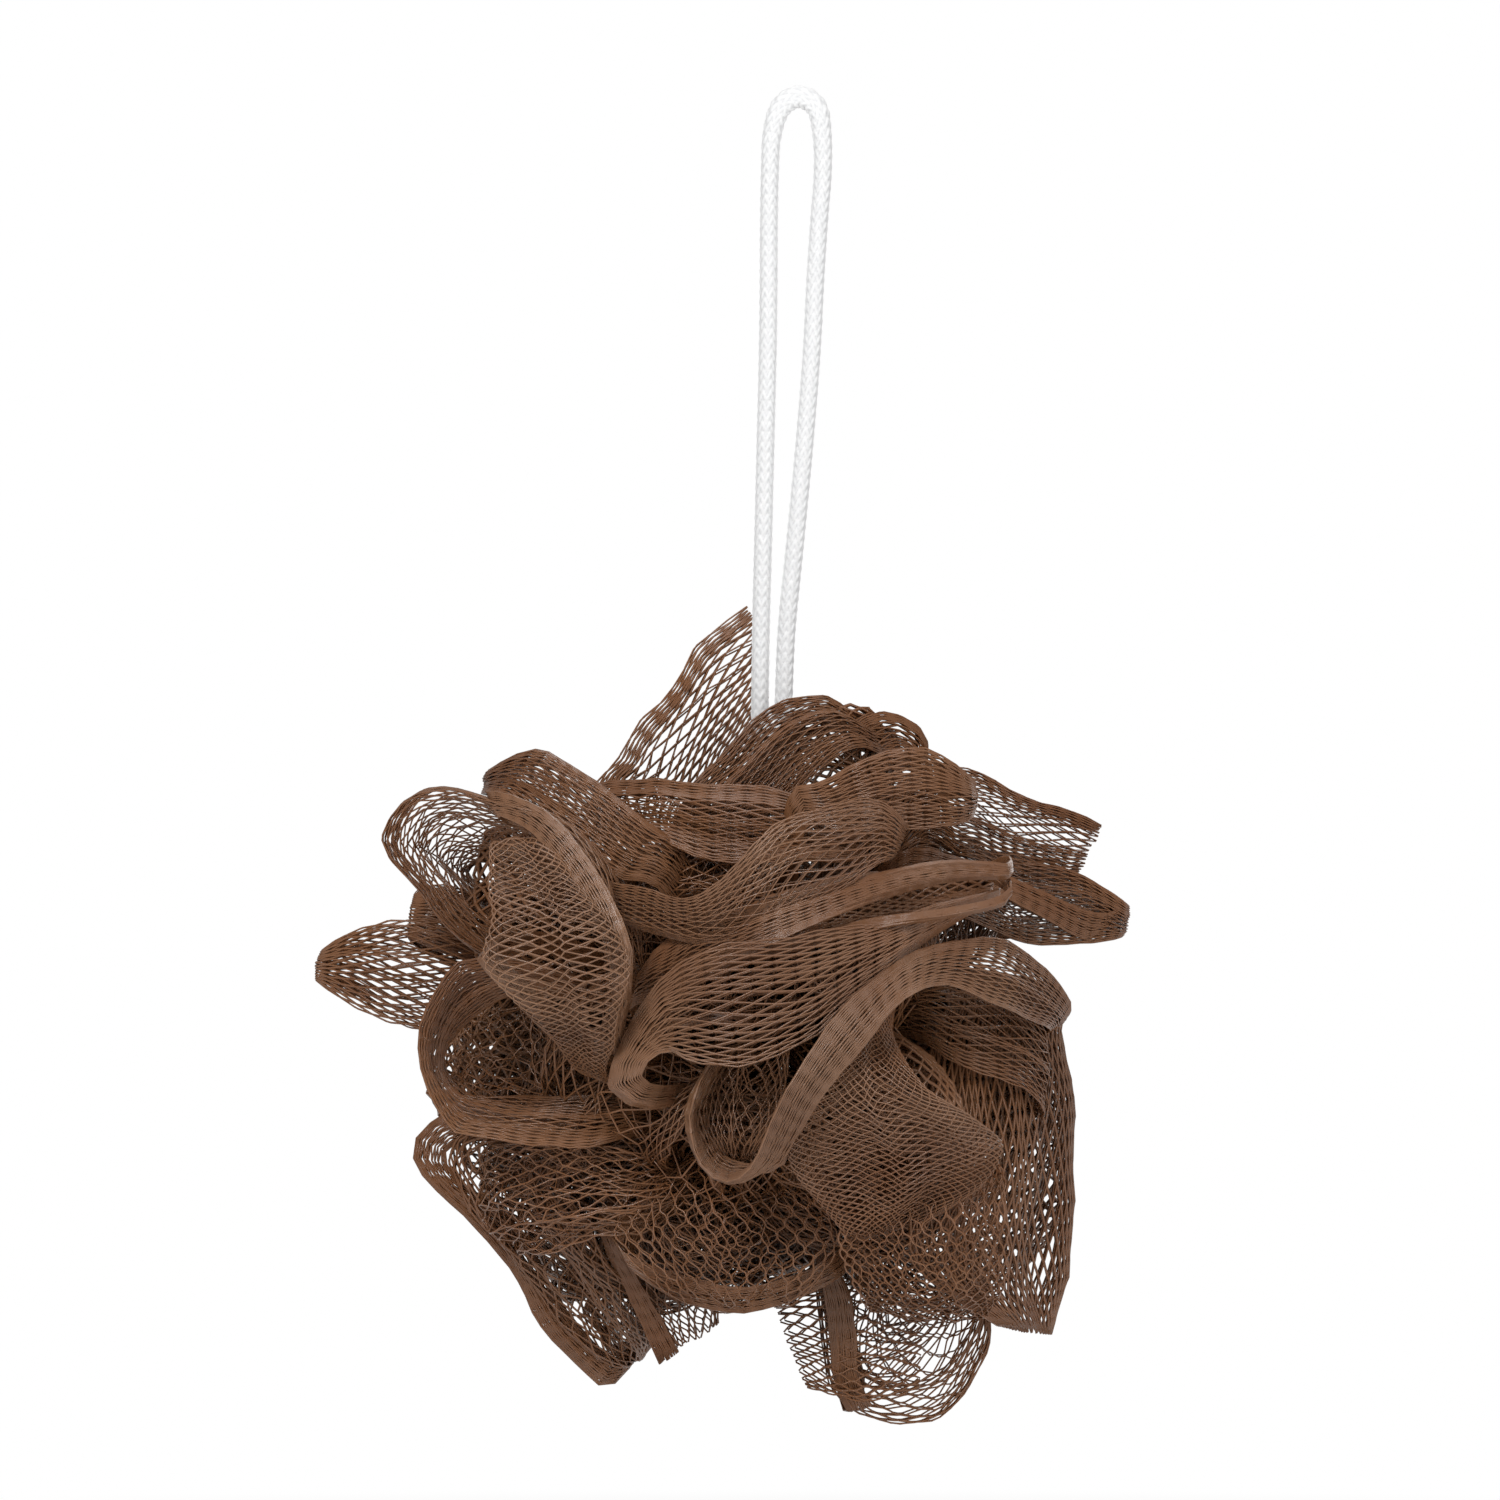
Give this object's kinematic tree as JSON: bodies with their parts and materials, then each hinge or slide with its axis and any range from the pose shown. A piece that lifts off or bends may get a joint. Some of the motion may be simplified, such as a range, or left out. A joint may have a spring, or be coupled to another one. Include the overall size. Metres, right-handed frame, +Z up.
{
  "type": "bath pouf",
  "caption": "Round bath pouf of brown net tube, fan-folded and bound at the waist, hanging on a knotted white braided cord loop.",
  "frame": {"origin": "the hang point: the underside of the cord at the top of the hanging loop", "axes": "+Z up, +X to the right as seen from the front, -Y towards the front, where the rosette of the net opens; the gathered waist's axis runs along Y"},
  "size_m": [0.132, 0.1048, 0.2145],
  "materials": {
    "brown_netting": "satin",
    "white_braid": "matte",
    "brown_twine": "matte"
  },
  "bodies": {
    "loop": {"hanging_loop": "white_braid"},
    "knot": {"cord_knot": "white_braid"},
    "stem": {"cord_stem_left": "white_braid", "cord_stem_right": "white_braid"},
    "pouf": {"cord_hitch": "white_braid", "cord_end_left": "white_braid", "cord_end_right": "white_braid", "waist_twine": "brown_twine", "net_length_1": "brown_netting", "net_length_2": "brown_netting", "net_length_3": "brown_netting", "net_length_4": "brown_netting", "net_length_5": "brown_netting", "net_length_6": "brown_netting", "net_length_7": "brown_netting", "net_length_8": "brown_netting"}
  },
  "joints": [
    {"name": "swing_front_back", "type": "hinge", "parent": "loop", "child": "knot", "pos_m": [-0.0044, 0, -0.103], "axis": [1, 0, 0], "range_deg": [-20, 20]},
    {"name": "swing_side", "type": "hinge", "parent": "knot", "child": "stem", "pos_m": [-0.0044, 0, -0.103], "axis": [0, 1, 0], "range_deg": [-20, 20]},
    {"name": "turn", "type": "hinge", "parent": "stem", "child": "pouf", "pos_m": [-0.0044, 0, -0.139], "axis": [0, 0, 1], "range_deg": [-180, 180]}
  ]
}
